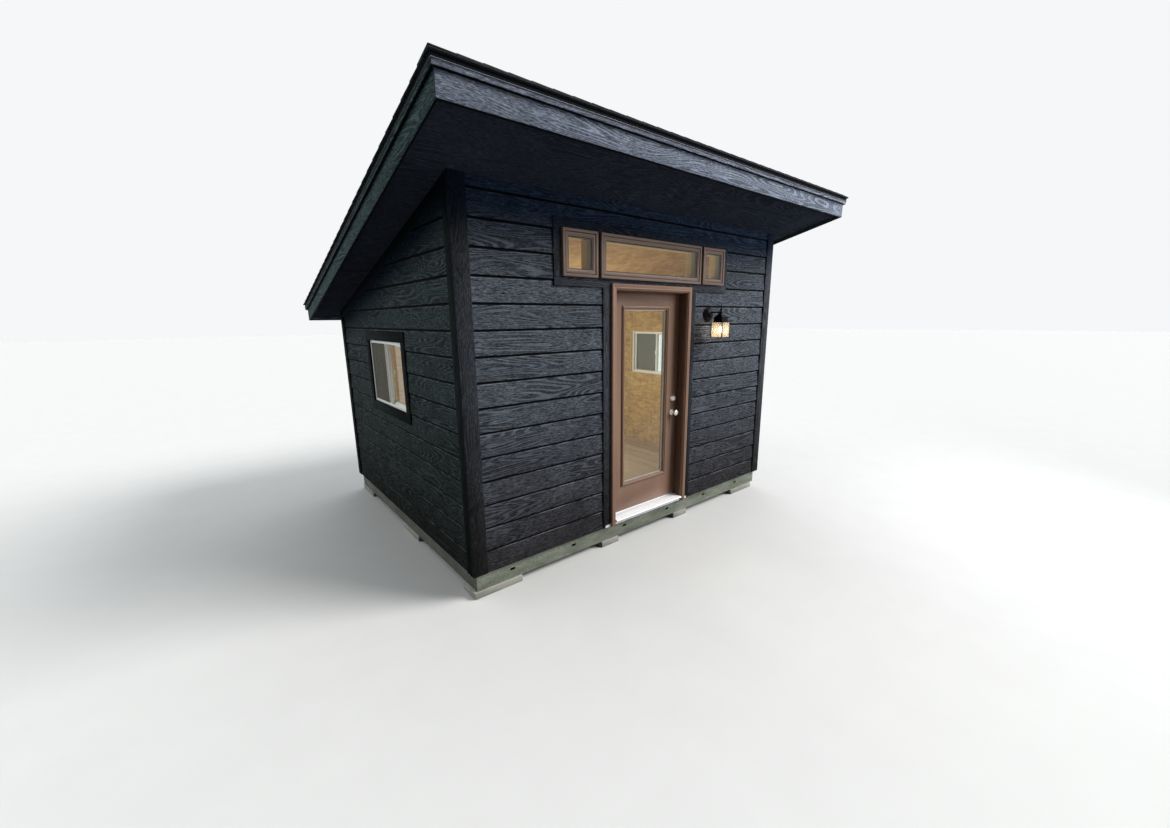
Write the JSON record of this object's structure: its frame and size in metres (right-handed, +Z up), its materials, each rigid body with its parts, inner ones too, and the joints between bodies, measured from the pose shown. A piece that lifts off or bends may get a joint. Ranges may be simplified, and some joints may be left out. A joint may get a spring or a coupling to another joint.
{
  "type": "garden office pod",
  "caption": "Garden office pod with a single-slope roof, dark lap siding, a glazed entry door below transom windows, sliding side windows and a steel floor frame on pad blocks.",
  "frame": {"origin": "on level ground, under the middle of the whole building with its roof overhangs", "axes": "+X to the right along the front, +Y from the front to the back, +Z up"},
  "size_m": [4.358, 3.999, 3.1953],
  "materials": {
    "concrete": "rough cast",
    "galvanised": "spangled zinc",
    "floor_wood": "satin",
    "wall_wood": "raw",
    "siding": "embossed grain, satin paint",
    "trim": "embossed grain, satin paint",
    "bronze_frame": "satin paint",
    "white_vinyl": "smooth",
    "sill_metal": "mill",
    "nickel": "satin",
    "dark_metal": "satin paint",
    "shingle": "granules",
    "lantern_black": "satin powder coat",
    "glass": "clear",
    "lantern_glass": "seeded"
  },
  "bodies": {
    "pod": {"foundation_blocks": "concrete", "rim_front": "galvanised", "rim_back": "galvanised", "rim_left": "galvanised", "rim_right": "galvanised", "floor_joists": "galvanised", "floor_deck": "floor_wood", "front_wall_left": "wall_wood", "front_wall_right": "wall_wood", "front_wall_top": "wall_wood", "back_wall": "wall_wood", "left_wall": "wall_wood", "right_wall": "wall_wood", "front_siding": "siding", "back_siding": "siding", "left_siding": "siding", "right_siding": "siding", "corner_boards": "trim", "frieze_boards": "trim", "transom_trim": "trim", "door_trim": "trim", "window_trim": "trim", "transom_frames": "bronze_frame", "transom_glass": "glass", "window_frames": "white_vinyl", "window_sashes": "white_vinyl", "window_glass": "glass", "door_frame": "bronze_frame", "brickmould": "bronze_frame", "threshold": "sill_metal", "hinge_frame_leaves": "nickel", "rafters": "wall_wood", "ceiling": "wall_wood", "soffit": "trim", "fascia_boards": "trim", "upper_trim": "trim", "drip_edge": "dark_metal", "roof_deck": "wall_wood", "roof_covering": "shingle", "lantern_bracket": "lantern_black", "lantern_cage": "lantern_black", "lantern_glass": "lantern_glass"},
    "door": {"door_leaf": "bronze_frame", "door_lite_frame": "bronze_frame", "door_glass": "glass", "hinge_door_leaves": "nickel", "door_knob": "nickel", "deadbolt": "nickel"}
  },
  "joints": [
    {"name": "door_hinge", "type": "hinge", "parent": "pod", "child": "door", "pos_m": [-0.4935, -1.2625, 1.2], "axis": [0, 0, 1], "range_deg": [0, 100]}
  ]
}
